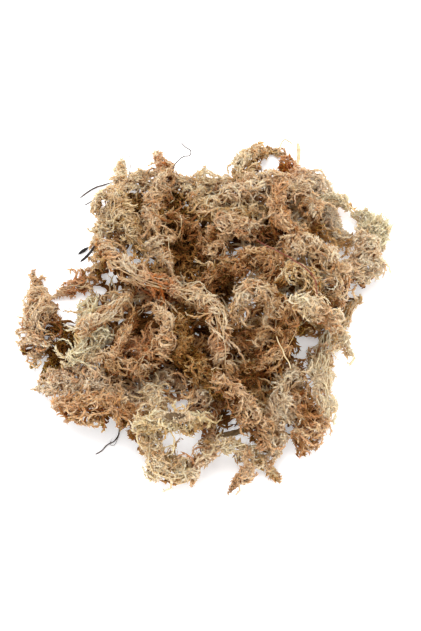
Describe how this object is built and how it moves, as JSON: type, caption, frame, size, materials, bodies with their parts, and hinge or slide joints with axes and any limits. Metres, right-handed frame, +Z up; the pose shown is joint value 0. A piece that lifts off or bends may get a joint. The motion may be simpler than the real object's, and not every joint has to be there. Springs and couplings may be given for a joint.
{
  "type": "sphagnum moss clump",
  "caption": "Low loose clump of dried long-fibre sphagnum moss: leafy shoots tangled with thin stalks and bark bits, lying flat, for lining pots, terrariums and displays.",
  "frame": {"origin": "on the ground, under the middle of the clump's bounding box", "axes": "+Z up from the surface that it lies on; +Y is the side away from a viewer at the front, along its longest extent; +X is that viewer's right"},
  "size_m": [0.207, 0.2206, 0.0532],
  "materials": {
    "pale_straw_moss": "matte",
    "golden_moss": "matte",
    "pink_brown_moss": "matte",
    "rust_moss": "matte",
    "dark_brown_moss": "matte",
    "green_head_moss": "matte",
    "wiry_stalk": "matte",
    "straw_stalk": "matte",
    "twig_bark": "matte",
    "charred_bark": "matte"
  },
  "bodies": {
    "root": {"wiry_stalk_west": "wiry_stalk", "wiry_stalk_south": "wiry_stalk", "twig": "twig_bark", "base_shoot_southwest": "pink_brown_moss", "base_shoot_west": "rust_moss", "base_shoot_middle": "rust_moss", "base_shoot_hollow": "dark_brown_moss", "base_shoot_northwest": "dark_brown_moss", "base_shoot_north": "dark_brown_moss", "base_shoot_northeast": "rust_moss", "base_shoot_east": "dark_brown_moss", "base_shoot_southeast": "dark_brown_moss", "base_shoot_brown": "dark_brown_moss", "left_tuft": "pink_brown_moss", "dark_wad": "dark_brown_moss", "rust_tuft": "rust_moss", "edge_shoot_west": "golden_moss", "ridge_shoot_north": "rust_moss", "arch_shoot": "golden_moss", "arch_rust_shoot": "rust_moss", "forked_stalk": "straw_stalk", "shoulder_shoot": "pink_brown_moss", "headed_shoot": "green_head_moss", "right_lobe_shoot": "pale_straw_moss", "lobe_shoot_pink": "pink_brown_moss", "lobe_shoot_rust": "rust_moss", "loop_shoot": "golden_moss", "hanging_shoot": "pink_brown_moss", "bottom_shoot": "golden_moss", "hooked_shoot": "pink_brown_moss", "rust_wad": "rust_moss", "fluffy_shoot": "pale_straw_moss", "right_shoot": "golden_moss", "spur_shoot": "golden_moss", "gap_shoot": "golden_moss", "tall_pale_shoot": "pale_straw_moss", "north_gold_shoot": "golden_moss", "north_grey_shoot": "pale_straw_moss", "comb_shoot": "pale_straw_moss", "inner_brown_shoot": "pink_brown_moss", "rust_curl_shoot": "rust_moss", "broad_curl_shoot": "pale_straw_moss", "knot_shoot": "pale_straw_moss", "ring_shoot": "pale_straw_moss", "hook_curl_shoot": "golden_moss", "sweeping_shoot": "pale_straw_moss", "crossing_shoot": "golden_moss", "inner_gold_shoot": "golden_moss", "south_brown_shoot": "pink_brown_moss", "curled_pale_shoot": "pale_straw_moss", "comb_yellow_shoot": "green_head_moss", "forked_pale_shoot": "pale_straw_moss", "slim_pale_shoot": "pale_straw_moss", "south_pale_shoot": "green_head_moss", "great_pale_shoot": "pale_straw_moss", "wiry_stalk_north": "wiry_stalk", "red_stalk": "wiry_stalk", "straw_stalk": "straw_stalk", "bark_splinter": "charred_bark", "bark_flake": "twig_bark"}
  },
  "joints": []
}
